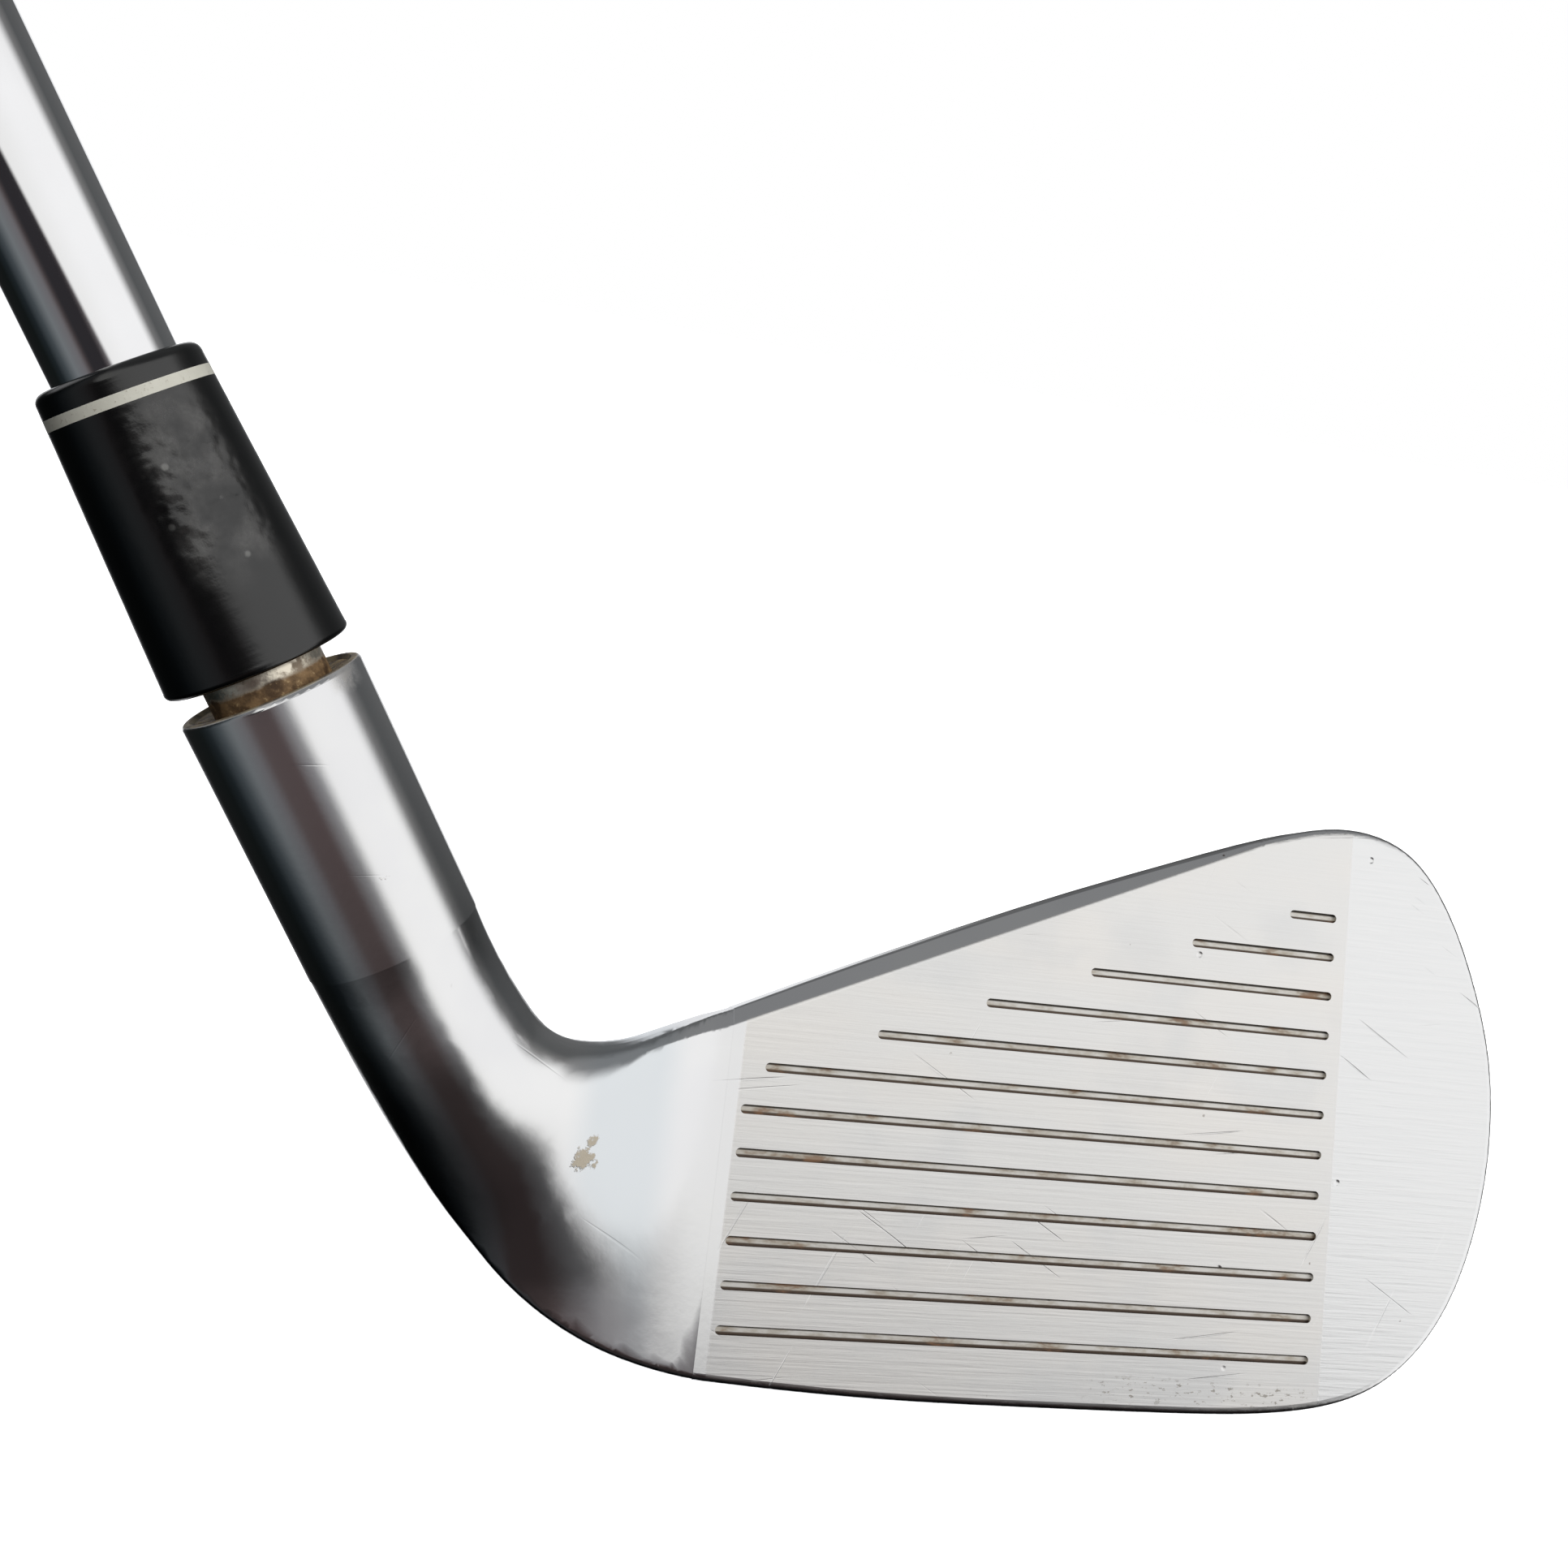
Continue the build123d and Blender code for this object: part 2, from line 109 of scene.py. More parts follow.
# ---- material toolkit ----
class Paint:
    """A node tree with short calls that each add a node and return its socket."""

    def __init__(self, tree):
        self.tree = tree
        tree.nodes.clear()

    def add(self, kind, **settings):
        node = self.tree.nodes.new(kind)
        for key, value in settings.items():
            setattr(node, key, value)
        return node

    def feed(self, socket, value):
        if isinstance(value, bpy.types.NodeSocket):
            self.tree.links.new(value, socket)
        elif isinstance(value, tuple) and len(value) == 3 and socket.type == "RGBA":
            socket.default_value = (*value, 1)
        else:
            socket.default_value = value

    def math(self, operation, *values):
        node = self.add("ShaderNodeMath", operation=operation)
        for socket, value in zip(node.inputs, values):
            self.feed(socket, value)
        return node.outputs[0]

    def times(self, first, *rest):
        for other in rest:
            first = self.math("MULTIPLY", first, other)
        return first

    def most(self, first, *rest):
        for other in rest:
            first = self.math("MAXIMUM", first, other)
        return first

    def distance(self, vector, point):
        node = self.add("ShaderNodeVectorMath", operation="DISTANCE")
        self.feed(node.inputs[0], vector)
        node.inputs[1].default_value = point
        return node.outputs["Value"]

    def dot(self, vector, direction):
        node = self.add("ShaderNodeVectorMath", operation="DOT_PRODUCT")
        self.feed(node.inputs[0], vector)
        node.inputs[1].default_value = direction
        return node.outputs["Value"]

    def along(self, vector, direction, origin, start=0.0):
        """Distance of a point from origin along a direction, plus start."""
        return self.math("SUBTRACT", self.dot(vector, direction), origin.dot(direction) - start)

    def step(self, value, low, high):
        """Smooth step from 0 to 1; falling if low is above high."""
        node = self.add("ShaderNodeMapRange", interpolation_type="SMOOTHSTEP")
        self.feed(node.inputs["Value"], value)
        node.inputs["From Min"].default_value = low
        node.inputs["From Max"].default_value = high
        return node.outputs["Result"]

    def between(self, value, low, high, soft):
        """1 from low to high and 0 outside, with soft ends."""
        rise = self.step(value, low - soft, low + soft)
        fall = self.step(value, high + soft, high - soft)
        return self.times(rise, fall)

    def join(self, x, y, z):
        node = self.add("ShaderNodeCombineXYZ")
        for socket, value in zip(node.inputs, (x, y, z)):
            self.feed(socket, value)
        return node.outputs[0]

    def noise(self, vector, scale, detail=2.0, roughness=0.5):
        node = self.add("ShaderNodeTexNoise")
        self.feed(node.inputs["Vector"], vector)
        node.inputs["Scale"].default_value = scale
        node.inputs["Detail"].default_value = detail
        node.inputs["Roughness"].default_value = roughness
        return node.outputs["Fac"]

    def cells(self, vector, scale):
        """Distance to the nearest of many scattered points."""
        node = self.add("ShaderNodeTexVoronoi")
        self.feed(node.inputs["Vector"], vector)
        node.inputs["Scale"].default_value = scale
        return node.outputs["Distance"]

    def mix(self, share, first, second):
        """Colour mix."""
        node = self.add("ShaderNodeMix", data_type="RGBA")
        self.feed(node.inputs[0], share)
        self.feed(node.inputs[6], first)
        self.feed(node.inputs[7], second)
        return node.outputs[2]

    def level(self, share, first, second):
        """Number mix."""
        node = self.add("ShaderNodeMix", data_type="FLOAT")
        self.feed(node.inputs[0], share)
        self.feed(node.inputs[2], first)
        self.feed(node.inputs[3], second)
        return node.outputs[0]

    def ramp(self, value, stops):
        """Colour ramp through (place, colour) stops, at most 32 of them."""
        node = self.add("ShaderNodeValToRGB")
        elements = node.color_ramp.elements
        elements.remove(elements[1])
        for i, (place, color) in enumerate(stops):
            element = elements[0] if i == 0 else elements.new(place)
            element.position = place
            element.color = (*color, 1)
        self.feed(node.inputs[0], value)
        return node.outputs[0]


class Surface(Paint):
    """A material with a Principled shader, and the object's own places in millimetres."""

    def __init__(self, name):
        self.material = bpy.data.materials.new(name)
        self.material.use_nodes = True
        super().__init__(self.material.node_tree)
        self.shader = self.add("ShaderNodeBsdfPrincipled")
        output = self.add("ShaderNodeOutputMaterial")
        self.tree.links.new(self.shader.outputs[0], output.inputs[0])
        scale = self.add("ShaderNodeVectorMath", operation="SCALE")
        self.tree.links.new(self.add("ShaderNodeTexCoord").outputs["Object"], scale.inputs[0])
        scale.inputs["Scale"].default_value = 1 / MM
        self.place = scale.outputs[0]

    def set(self, **values):
        for name, value in values.items():
            self.feed(self.shader.inputs[name.replace("_", " ")], value)

    def bump(self, height, depth):
        """Relief of that depth in millimetres."""
        node = self.add("ShaderNodeBump")
        node.inputs["Strength"].default_value = 1.0
        node.inputs["Distance"].default_value = depth * MM
        self.feed(node.inputs["Height"], height)
        self.feed(self.shader.inputs["Normal"], node.outputs[0])

    def on_shaft(self):
        """Height above the hosel's mouth, distance from the axis and angle round it, in degrees."""
        height = self.along(self.place, shaft_axis, hosel_mouth)
        front = self.along(self.place, ahead, hosel_mouth)
        side = self.along(self.place, aside, hosel_mouth)
        squares = self.math("ADD", self.times(front, front), self.times(side, side))
        angle = self.times(self.math("ARCTAN2", side, front), 180 / math.pi)
        return height, self.math("SQRT", squares), angle


def use(node_name, surface):
    data = nodes[node_name].data
    data.materials.clear()
    data.materials.append(surface.material)


# ---- head: polished hosel and neck, milled face ----
def paint_head():
    p = Surface("head_chromed_steel")
    u = p.along(p.place, Vector((1, 0, 0)), face_point, FACE_POINT_U)
    v = p.along(p.place, face_up, face_point, FACE_POINT_V)
    n = p.along(p.place, face_normal, face_point)
    height, radius, angle = p.on_shaft()
    flat = p.times(p.step(n, -0.12, -0.02), p.step(u, HEEL_LINE - 0.12, HEEL_LINE + 0.12))
    toe = p.times(flat, p.step(u, TOE_LINE - 0.08, TOE_LINE + 0.08))
    scored = p.math("SUBTRACT", flat, toe)

    # scorelines: below the face, inside the scored field
    bevel = p.math("SUBTRACT", v, p.times(u, BEVEL_SLOPE))
    field = p.times(
        p.between(u, HEEL_LINE + 0.2, TOE_LINE - 0.7, 0.1),
        p.between(v, -0.9, TOP_LINE_V + 1.0, 0.1),
        p.step(bevel, BEVEL_AT_ORIGIN - 3.0, BEVEL_AT_ORIGIN - 3.2),
    )
    groove = p.times(field, p.step(n, -0.03, -0.16), p.step(n, -0.6, -0.5))
    row = p.math("FRACT", p.math("ADD", p.math("DIVIDE", v, LINE_PITCH), 0.5))

    # brushing along the face and fine lapping over the toe
    brushing = p.noise(p.join(p.times(u, 0.09), p.times(v, 3.2), 0.0), 1.0, 4.0, 0.6)
    sweep = p.math("ADD", p.times(u, 0.9), p.times(v, 0.28))
    lapping = p.noise(p.join(p.times(sweep, 0.12), p.times(v, 2.6), 3.0), 1.0, 3.0, 0.55)
    cloud = p.noise(p.place, 0.09, 3.0, 0.5)
    fine = p.noise(p.place, 1.6, 3.0, 0.6)
    drift = p.noise(p.join(p.times(u, 0.05), p.times(v, 0.11), 7.0), 1.0, 2.0)

    # scratches: thin streaks in three directions, only here and there
    scratches = 0.0
    for turn, seed, stretch in SCRATCHES:
        c = math.cos(math.radians(turn))
        s = math.sin(math.radians(turn))
        run = p.math("ADD", p.times(u, c), p.times(v, s))
        across = p.math("SUBTRACT", p.times(v, c), p.times(u, s))
        streak = p.noise(p.join(p.times(run, stretch), p.times(across, 2.4), seed), 1.0, 1.0)
        patch = p.noise(p.join(p.times(u, 0.07), p.times(v, 0.07), seed), 1.0, 1.0)
        thin = p.times(p.step(streak, 0.70, 0.75), p.step(patch, 0.54, 0.66))
        scratches = p.most(scratches, thin)
    scratches = p.times(scratches, p.level(flat, 0.2, 1.0))
    # small dents, and dark specks where the plating is through
    dents = p.step(p.cells(p.place, 0.12), 0.045, 0.018)
    specks = p.times(p.step(p.cells(p.place, 0.21), 0.034, 0.018), p.step(fine, 0.48, 0.6))

    # grime along the lower edge near the toe end of the scorelines
    low = p.times(p.between(u, -20.0, 0.0, 2.5), p.between(v, -4.3, -2.3, 0.5))
    flecks = p.step(p.noise(p.join(p.times(u, 0.9), p.times(v, 1.6), 0.0), 1.3, 4.0, 0.7), 0.56, 0.64)
    grime = p.times(low, flecks)

    # rust in the scorelines, and stain on the hosel's rim, below it at the front and inside
    rust_noise = p.noise(p.join(p.times(u, 0.22), p.times(v, 0.6), 1.0), 1.0, 4.0, 0.65)
    rust = p.times(groove, p.step(rust_noise, 0.56, 0.68))
    rim_noise = p.noise(p.place, 0.75, 4.0, 0.65)
    land = p.step(height, -0.16, -0.02)
    runs = p.between(angle, 36.0, 60.0, 7.0)
    reach = p.math("ADD", height, p.times(p.math("SUBTRACT", rim_noise, 0.5), 2.4))
    rim = p.most(land, p.times(runs, p.step(reach, -1.9, -0.5), 0.30))
    inside = p.times(p.step(radius, MOUTH_R, MOUTH_R - 0.08), p.step(height, -8.0, -6.0))
    stain = p.most(rim, inside)

    # dried glue: a smear of two spots on the neck and a small drip on the hosel
    smudge = 0.0
    ragged = p.times(p.math("SUBTRACT", fine, 0.5), 2.6)
    for centre, size in GLUE_SPOTS:
        away = p.math("ADD", p.distance(p.place, centre), ragged)
        smudge = p.most(smudge, p.step(away, size, size - 0.35))

    # colour; the polished metal has a cooler part on the neck
    polished = p.mix(p.step(cloud, 0.35, 0.65), (0.80, 0.80, 0.81), (0.84, 0.84, 0.84))
    neck = p.times(p.between(u, -67.0, -59.6, 1.6), p.step(radius, 5.0, 7.0), p.step(height, -28, -34))
    color = p.mix(p.times(neck, 0.85), polished, (0.70, 0.735, 0.76))
    line_color = p.mix(brushing, (0.825, 0.815, 0.80), (0.87, 0.865, 0.855))
    line_color = p.mix(p.times(p.step(drift, 0.40, 0.66), 0.7), line_color, (0.875, 0.85, 0.82))
    line_color = p.mix(p.times(p.step(cloud, 0.50, 0.68), 0.5), line_color, (0.76, 0.765, 0.77))
    color = p.mix(scored, color, line_color)
    color = p.mix(toe, color, p.mix(lapping, (0.80, 0.805, 0.81), (0.90, 0.90, 0.90)))
    color = p.mix(p.times(scratches, 0.3), color, (0.93, 0.93, 0.93))
    color = p.mix(p.times(specks, 0.8), color, (0.16, 0.11, 0.08))
    color = p.mix(p.times(grime, 0.7), color, (0.24, 0.21, 0.17))
    # painted shade and highlight in the scorelines: dark walls, darkest towards the upper wall, and a pale band on
    # the groove floor as a painted highlight, with rust spots mixed in
    painted_groove_highlight = p.between(row, 0.452, 0.555, 0.016)
    groove_color = p.mix(p.step(row, 0.43, 0.56), (0.13, 0.10, 0.08), (0.08, 0.07, 0.06))
    highlight_and_rust = p.mix(p.step(rust_noise, 0.40, 0.62), (0.86, 0.84, 0.80), (0.60, 0.55, 0.47))
    groove_color = p.mix(painted_groove_highlight, groove_color, highlight_and_rust)
    groove_color = p.mix(p.times(rust, 0.75), groove_color, (0.22, 0.11, 0.05))
    color = p.mix(groove, color, groove_color)
    stain_color = p.mix(p.step(rim_noise, 0.36, 0.62), (0.06, 0.036, 0.017), (0.27, 0.21, 0.11))
    color = p.mix(p.times(stain, 0.92), color, stain_color)
    color = p.mix(p.times(smudge, 0.85), color, (0.47, 0.40, 0.29))
    p.set(Base_Color=color)

    # metal, roughness, relief
    dull = p.most(p.times(rust, 0.9), p.times(stain, 0.9), p.times(smudge, 0.85), p.times(grime, 0.3))
    p.set(Metallic=p.math("SUBTRACT", 1.0, dull))
    rough = p.level(p.step(cloud, 0.3, 0.7), 0.13, 0.18)
    rough = p.level(scored, rough, p.level(brushing, 0.26, 0.36))
    rough = p.level(toe, rough, p.level(lapping, 0.20, 0.30))
    rough = p.level(groove, rough, 0.45)
    rough = p.level(dull, rough, 0.7)
    p.set(Roughness=rough)
    relief = p.times(scored, p.math("SUBTRACT", brushing, 0.5), 0.45)
    relief = p.math("ADD", relief, p.times(toe, p.math("SUBTRACT", lapping, 0.5), 0.8))
    relief = p.math("ADD", relief, p.times(fine, 0.10))
    relief = p.math("SUBTRACT", relief, p.times(scratches, 0.9))
    relief = p.math("SUBTRACT", relief, p.times(dents, 2.2))
    relief = p.math("ADD", relief, p.times(smudge, fine, 1.6))
    relief = p.math("ADD", relief, p.times(stain, rim_noise, 1.4))
    p.bump(relief, 0.03)
    return p


# ---- shaft: mirror chrome, stained under the ferrule, with a painted shadow just below the ferrule's foot, and glued at the hosel's mouth ----
def paint_shaft():
    p = Surface("shaft_mirror_chrome")
    height, radius, _ = p.on_shaft()
    haze = p.noise(p.place, 0.25, 3.0)
    crust = p.noise(p.place, 0.55, 5.0, 0.65)
    grain = p.noise(p.place, 2.2, 4.0, 0.7)
    wander = p.times(p.math("SUBTRACT", crust, 0.5), 3.0)
    outside = p.step(radius, 4.0, 4.3)
    stained = p.times(p.step(p.math("ADD", height, wander), 6.6, 5.4), outside)
    glued = p.times(p.step(p.math("ADD", height, p.times(wander, 0.4)), 1.15, 0.75), outside)
    # painted shadow: the shaft just below the ferrule's foot is painted near-black and dull, as the shade the
    # ferrule casts
    painted_shadow = p.times(stained, p.step(height, 1.5, 2.1), 0.8)
    patches = p.times(p.step(crust, 0.50, 0.64), 0.8)
    chrome = p.mix(haze, (0.83, 0.83, 0.84), (0.88, 0.88, 0.89))
    stain = p.mix(patches, (0.84, 0.77, 0.64), (0.20, 0.13, 0.075))
    color = p.mix(stained, chrome, stain)
    color = p.mix(painted_shadow, color, (0.03, 0.022, 0.016))
    glue = p.mix(p.step(crust, 0.36, 0.64), (0.07, 0.040, 0.020), (0.28, 0.175, 0.085))
    glue = p.mix(p.step(grain, 0.57, 0.69), glue, (0.42, 0.30, 0.16))
    p.set(Base_Color=p.mix(glued, color, glue))
    crust_and_painted_shadow = p.most(glued, p.times(stained, patches), painted_shadow)
    p.set(Metallic=p.math("SUBTRACT", 1.0, p.times(crust_and_painted_shadow, 0.92)))
    rough = p.level(stained, p.level(haze, 0.035, 0.075), 0.28)
    p.set(Roughness=p.level(crust_and_painted_shadow, rough, 0.6))
    p.bump(p.math("ADD", p.times(stained, crust), p.times(haze, 0.004)), 0.10)
    return p


def paint_epoxy():
    p = Surface("aged_epoxy")
    crust = p.noise(p.place, 0.7, 5.0, 0.65)
    grain = p.noise(p.place, 2.6, 3.0, 0.7)
    color = p.mix(p.step(crust, 0.35, 0.65), (0.07, 0.040, 0.018), (0.32, 0.22, 0.10))
    color = p.mix(p.step(grain, 0.56, 0.68), color, (0.46, 0.37, 0.19))
    color = p.mix(p.step(grain, 0.38, 0.30), color, (0.012, 0.008, 0.005))
    p.set(Base_Color=color, Roughness=p.level(grain, 0.45, 0.8))
    p.bump(p.math("ADD", crust, p.times(grain, 0.5)), 0.25)
    return p


# ---- ferrule ----
def paint_ferrule_black(name):
    p = Surface(name)
    height, _, angle = p.on_shaft()
    fine = p.noise(p.place, 3.0, 3.0, 0.6)
    cloud = p.noise(p.place, 0.35, 3.0, 0.55)
    # on the front, where the window's reflection falls, the sleeve is painted lighter grey with bright specks:
    # partly scuffed wear, partly painted highlight
    wear_and_sheen = p.times(p.between(height, 9.5, 22.0, 2.5), p.between(angle, -8.0, 42.0, 10.0))
    color = p.mix(cloud, (0.0007, 0.0010, 0.0010), (0.0020, 0.0021, 0.0022))
    scuffs_and_sheen = p.times(wear_and_sheen, p.step(cloud, 0.34, 0.66))
    color = p.mix(scuffs_and_sheen, color, p.mix(fine, (0.012, 0.012, 0.012), (0.075, 0.073, 0.070)))
    flake_glints = p.times(wear_and_sheen, p.step(p.cells(p.place, 0.45), 0.15, 0.06))
    color = p.mix(p.times(flake_glints, 0.7), color, (0.20, 0.20, 0.19))
    p.set(Base_Color=color)
    p.set(Roughness=p.level(wear_and_sheen, p.level(cloud, 0.17, 0.23), p.level(fine, 0.16, 0.30)))
    p.set(Specular_IOR_Level=0.8)
    marks = p.noise(p.join(p.times(angle, 0.012), p.times(height, 1.1), 0.0), 1.0, 4.0, 0.6)
    relief = p.math("ADD", p.times(fine, p.level(wear_and_sheen, 0.12, 0.6)), p.times(marks, 0.4))
    p.bump(relief, 0.035)
    return p


def paint_ferrule_cream():
    p = Surface("ferrule_cream")
    cloud = p.noise(p.place, 0.6, 3.0)
    fine = p.noise(p.place, 3.5, 3.0, 0.7)
    color = p.mix(cloud, (0.50, 0.49, 0.42), (0.62, 0.61, 0.54))
    color = p.mix(p.step(fine, 0.60, 0.72), color, (0.34, 0.31, 0.25))
    p.set(Base_Color=color, Roughness=p.level(fine, 0.28, 0.45))
    p.bump(fine, 0.02)
    return p


# ---- grip end ----
def paint_rubber(name, dark, light):
    p = Surface(name)
    cloud = p.noise(p.place, 0.05, 3.0, 0.55)
    pores = p.noise(p.place, 2.4, 4.0, 0.7)
    dust = p.times(p.step(p.noise(p.place, 0.4, 4.0, 0.7), 0.55, 0.75), 0.35)
    color = p.mix(cloud, dark, light)
    color = p.mix(dust, color, (0.10, 0.097, 0.09))
    p.set(Base_Color=color, Roughness=p.level(pores, 0.55, 0.85))
    p.bump(pores, 0.06)
    return p


def paint_film():
    p = Surface("band_film")
    height, _, angle = p.on_shaft()
    fine = p.noise(p.place, 1.5, 3.0)
    weave = p.noise(p.join(p.times(angle, 0.02), p.times(height, 0.5), 0.0), 1.0, 2.0)
    p.set(Base_Color=p.mix(weave, (0.012, 0.013, 0.016), (0.028, 0.029, 0.034)))
    p.set(Roughness=p.level(fine, 0.22, 0.38))
    p.bump(fine, 0.01)
    return p


def paint_tape():
    p = Surface("grip_tape")
    fibre = p.noise(p.join(p.dot(p.place, shaft_axis), p.dot(p.place, aside), 0.0), 0.8, 4.0, 0.7)
    p.set(Base_Color=p.mix(fibre, (0.50, 0.44, 0.30), (0.72, 0.66, 0.50)), Roughness=0.8)
    p.bump(fibre, 0.05)
    return p


def paint_brass():
    p = Surface("brass")
    turned = p.noise(p.join(0.0, 0.0, p.dot(p.place, shaft_axis)), 3.0, 2.0)
    tarnish = p.noise(p.place, 0.5, 4.0)
    p.set(Base_Color=p.mix(tarnish, (0.72, 0.50, 0.20), (0.42, 0.27, 0.11)), Metallic=1.0)
    p.set(Roughness=p.level(tarnish, 0.25, 0.5))
    p.bump(turned, 0.02)
    return p


# ---- mesh pieces turned round the shaft's axis ----
def lathe(name, foot, profile, count, shape, surface):
    """Closed surface of revolution; shape(r, h, angle) gives the radius at each point."""
    vertices = []
    for r, h in profile:
        for i in range(count):
            angle = 2 * math.pi * i / count
            out = ahead * math.cos(angle) + aside * math.sin(angle)
            vertices.append((foot + shaft_axis * h + out * shape(r, h, angle)) * MM)
    faces = []
    rows = len(profile)
    for j in range(rows):
        k = (j + 1) % rows
        for i in range(count):
            m = (i + 1) % count
            faces.append((j * count + i, j * count + m, k * count + m, k * count + i))
    mesh = bpy.data.meshes.new(name)
    mesh.from_pydata(vertices, [], faces)
    mesh.validate()
    mesh.update()
    mesh.materials.append(surface.material)
    thing = bpy.data.objects.new(name, mesh)
    bpy.context.scene.collection.objects.link(thing)
    bpy.context.view_layer.update()
    return thing


def swell_radius(h):
    """Radius of the plain grip at a height, straight between its driving points."""
    for (h0, r0), (h1, r1) in zip(GRIP_SWELL, GRIP_SWELL[1:]):
        if h <= h1:
            t = (h - h0) / (h1 - h0)
            return r0 + (r1 - r0) * t
    return GRIP_BUTT_R


def notch(distance, width):
    """Round-bottomed groove, 1 at its middle and 0 beyond its half width."""
    t = min(1.0, abs(distance) / width)
    return (1 - t * t) ** 2


def tread_depth(h, angle):
    """How deep the grip's moulded pattern is cut at a point."""
    depth = max(notch(h - ring, 0.9) for ring in GRIP_RINGS) * 0.5
    for low, high in TREAD_ZONES:
        if low < h < high:
            ease = min(1.0, (h - low) / 3, (high - h) / 3)
            for way in (-1, 1):
                turn = TREAD_STARTS * angle / (2 * math.pi) + way * h / TREAD_LEAD
                depth = max(depth, ease * TREAD_DEPTH * notch(turn - round(turn), 0.16))
    return depth


def smooth(thing):
    """Smooth shading, with edges kept sharp where the surface turns more than 40 degrees."""
    for polygon in thing.data.polygons:
        polygon.use_smooth = True
    thing.data.set_sharp_from_angle(angle=math.radians(40))


def make_grip(surface):
    """Rubber sleeve of the grip, with its moulded tread and rings."""
    foot = Vector(mounts["grip"]["pos_m"]) / MM - shaft_axis * GRIP_MID
    rows = int((GRIP_LENGTH - 1) / GRIP_STEP)
    heights = [0.0, 0.3, 0.6] + [1.0 + GRIP_STEP * i for i in range(rows)]
    outside = [(swell_radius(h), h) for h in heights] + [(GRIP_BUTT_R, GRIP_LENGTH)]
    inside = [(GRIP_INNER_R, h) for h in (GRIP_LENGTH, GRIP_LENGTH / 2, 0.0)]

    def shape(r, h, angle):
        return r - tread_depth(h, angle) if r > GRIP_INNER_R + 0.1 else r

    return lathe("grip_sleeve", foot, outside + inside, GRIP_SIDES, shape, surface)


def make_ferrule(surface):
    """Black sleeve of the ferrule, pitted by wear on its front."""
    rise = (FERRULE_TOP_R - FERRULE_FOOT_R) / (FERRULE_TOP - FERRULE_FOOT)
    outside = []
    for i in range(6):
        turn = math.radians(18 * i)
        r = FERRULE_FOOT_R - FOOT_ROUND * (1 - math.sin(turn))
        outside.append((r, FERRULE_FOOT + FOOT_ROUND * (1 - math.cos(turn))))
    h = FERRULE_FOOT + FOOT_ROUND
    while h < RING_FOOT - 0.2:
        h += SLEEVE_STEP
        outside.append((FERRULE_FOOT_R + rise * (h - FERRULE_FOOT), h))
    outside.append((FERRULE_FOOT_R + rise * (RING_FOOT - FERRULE_FOOT), RING_FOOT))
    inside = [(SPIGOT_R, RING_FOOT), (SPIGOT_R, SPIGOT_END), (FERRULE_BORE_R, SPIGOT_END)]
    inside.append((FERRULE_BORE_R, FERRULE_FOOT))

    def shape(r, h, angle):
        if r < FERRULE_TOP_R or h > RING_FOOT - 0.3 or h < FERRULE_FOOT + 1:
            return r
        spot = Vector((r * math.cos(angle), r * math.sin(angle), h))
        turn = math.degrees(angle)
        turn = turn - 360 if turn > 180 else turn
        front = max(0.0, 1 - ((turn - 18) / 42) ** 2)
        high = max(0.0, 1 - ((h - 16.0) / 7.0) ** 2)
        wrinkle = noise.noise(spot * 0.7) * 0.6 + noise.noise(spot * 1.8) * 0.4
        wear = 0.010 + 0.17 * front * high
        return r - wear * max(0.0, 0.45 + wrinkle)

    return lathe("ferrule_sleeve", hosel_mouth, outside + inside, SLEEVE_SIDES, shape, surface)


black = paint_ferrule_black("ferrule_gloss_black")
rubber = paint_rubber("grip_rubber", (0.014, 0.014, 0.015), (0.030, 0.030, 0.031))
use("head", paint_head())
use("shaft", paint_shaft())
use("hosel_epoxy", paint_epoxy())
use("ferrule_collar", black)
use("ferrule_ring", paint_ferrule_cream())
use("tip_weight", paint_brass())
use("shaft_band", paint_film())
use("grip_tape", paint_tape())
use("grip_cap", paint_rubber("cap_rubber", (0.010, 0.010, 0.011), (0.022, 0.022, 0.023)))

grip_sleeve = make_grip(rubber)
smooth(grip_sleeve)
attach(grip_sleeve, "club")
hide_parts("grip")

ferrule_sleeve = make_ferrule(black)
smooth(ferrule_sleeve)
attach(ferrule_sleeve, "ferrule")
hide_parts("ferrule_body")

# ---- stage: white floor, which neither shows in the metal nor lights it ----
FLOOR_SIZE = 40.0
FLOOR_DROP = 0.0002
floor_mesh = bpy.data.meshes.new("floor")
corners = [(-FLOOR_SIZE, -FLOOR_SIZE, 0), (FLOOR_SIZE, -FLOOR_SIZE, 0)]
corners += [(FLOOR_SIZE, FLOOR_SIZE, 0), (-FLOOR_SIZE, FLOOR_SIZE, 0)]
floor_mesh.from_pydata(corners, [], [(0, 1, 2, 3)])
paper = Surface("floor_paper")
paper.set(Base_Color=(0.9, 0.9, 0.9), Roughness=0.9, Emission_Color=(1.0, 1.0, 1.0))
paper.set(Emission_Strength=1.0)
floor_mesh.materials.append(paper.material)
floor = bpy.data.objects.new("floor", floor_mesh)
bpy.context.scene.collection.objects.link(floor)
floor.location.z = -FLOOR_DROP
floor.visible_glossy = False
floor.visible_diffuse = False

